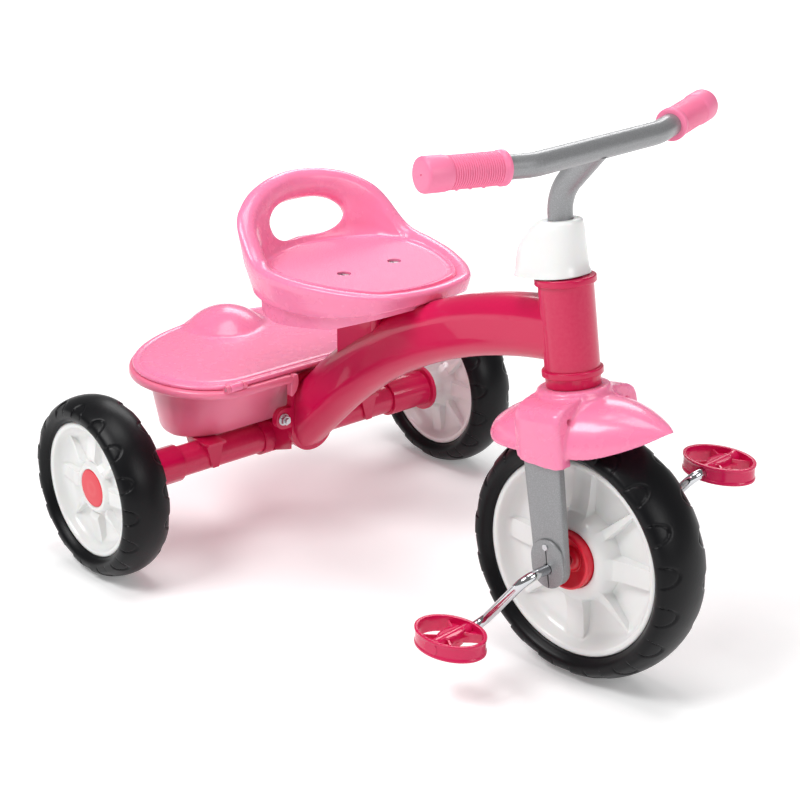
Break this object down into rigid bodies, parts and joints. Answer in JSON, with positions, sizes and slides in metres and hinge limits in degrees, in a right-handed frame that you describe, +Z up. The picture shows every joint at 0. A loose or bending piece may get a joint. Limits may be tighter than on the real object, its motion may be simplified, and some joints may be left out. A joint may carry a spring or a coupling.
{
  "type": "children's tricycle",
  "caption": "Pedal tricycle for a young child with a curved tube frame, direct-drive front wheel, moulded seat and a lidded bin over the rear axle.",
  "frame": {"origin": "on the ground under the middle of the overall box", "axes": "+X forward, +Y to the rider's left, +Z up"},
  "size_m": [0.7664, 0.5452, 0.5462],
  "materials": {
    "pink_plastic": "moulded, gloss",
    "crimson_paint": "gloss enamel",
    "crimson_plastic": "moulded, gloss",
    "white_plastic": "moulded, gloss",
    "black_tyre": "satin, moulded",
    "silver_paint": "metallic paint",
    "chrome_rod": "polished",
    "zinc_steel": "zinc plated",
    "nylon": "natural nylon"
  },
  "bodies": {
    "frame": {"backbone_tube": "crimson_paint", "backbone_flange": "crimson_paint", "head_tube": "crimson_paint", "lower_bearing_cup": "crimson_paint", "upper_bearing_cup": "crimson_paint", "axle_bracket": "crimson_paint", "frame_bolts": "zinc_steel", "frame_nuts": "zinc_steel", "rear_axle_tube": "crimson_paint", "rear_axle_rod": "zinc_steel", "axle_washers": "zinc_steel", "axle_push_nuts": "zinc_steel", "storage_bin": "pink_plastic", "bin_screws": "zinc_steel", "lid_hinge_pins": "zinc_steel", "seat": "pink_plastic", "seat_post": "crimson_paint", "seat_screws": "zinc_steel", "axle_sleeve_left": "crimson_paint", "axle_sleeve_right": "crimson_paint", "bin_support_left": "crimson_paint", "bin_support_right": "crimson_paint"},
    "steering": {"fork_crown": "silver_paint", "steerer_tube": "silver_paint", "fender": "pink_plastic", "stem_cap": "white_plastic", "stem_tube": "silver_paint", "stem_bolt": "zinc_steel", "stem_nut": "zinc_steel", "handlebar_tube": "silver_paint", "fork_leg_left": "silver_paint", "fork_leg_right": "silver_paint", "dropout_cover_left": "silver_paint", "dropout_cover_right": "silver_paint", "dropout_rivet_left": "zinc_steel", "dropout_rivet_right": "zinc_steel", "crank_bush_left": "nylon", "crank_bush_right": "nylon", "grip_left": "pink_plastic", "grip_right": "pink_plastic"},
    "front_wheel": {"front_tyre": "black_tyre", "front_rim": "white_plastic", "crank": "chrome_rod", "hub_cup_left": "crimson_plastic", "hub_cup_right": "crimson_plastic", "pedal_push_nut_left": "zinc_steel", "pedal_push_nut_right": "zinc_steel"},
    "bin_lid": {"bin_lid": "pink_plastic"},
    "pedal_left": {"pedal_left": "crimson_plastic", "pedal_plug_left": "crimson_plastic"},
    "rear_wheel_left": {"rear_tyre_left": "black_tyre", "rear_rim_left": "white_plastic", "rear_bush_left": "nylon", "rear_hub_cap_left": "crimson_plastic"},
    "pedal_right": {"pedal_right": "crimson_plastic", "pedal_plug_right": "crimson_plastic"},
    "rear_wheel_right": {"rear_tyre_right": "black_tyre", "rear_rim_right": "white_plastic", "rear_bush_right": "nylon", "rear_hub_cap_right": "crimson_plastic"}
  },
  "joints": [
    {"name": "steering", "type": "hinge", "parent": "frame", "child": "steering", "pos_m": [0.25628, 0, 0.127], "axis": [-0.1547, 0, 0.988], "range_deg": [-50.8, 39.2]},
    {"name": "front_wheel_spin", "type": "hinge", "parent": "steering", "child": "front_wheel", "pos_m": [0.25628, 0, 0.127], "axis": [-0.0998, 0.9949, -0.0156], "continuous": true},
    {"name": "pedal_left_spin", "type": "hinge", "parent": "front_wheel", "child": "pedal_left", "pos_m": [0.29525, 0.1416, 0.1901], "axis": [-0.0998, 0.9949, -0.0156], "continuous": true},
    {"name": "pedal_right_spin", "type": "hinge", "parent": "front_wheel", "child": "pedal_right", "pos_m": [0.21731, -0.1416, 0.06389], "axis": [-0.0998, 0.9949, -0.0156], "continuous": true},
    {"name": "rear_wheel_left_spin", "type": "hinge", "parent": "frame", "child": "rear_wheel_left", "pos_m": [-0.23122, 0.2445, 0.1], "axis": [0, 1, 0], "continuous": true},
    {"name": "rear_wheel_right_spin", "type": "hinge", "parent": "frame", "child": "rear_wheel_right", "pos_m": [-0.23122, -0.2445, 0.1], "axis": [0, 1, 0], "continuous": true},
    {"name": "lid_hinge", "type": "hinge", "parent": "frame", "child": "bin_lid", "pos_m": [-0.17122, 0, 0.1965], "axis": [0, 1, 0], "range_deg": [0, 60]}
  ]
}
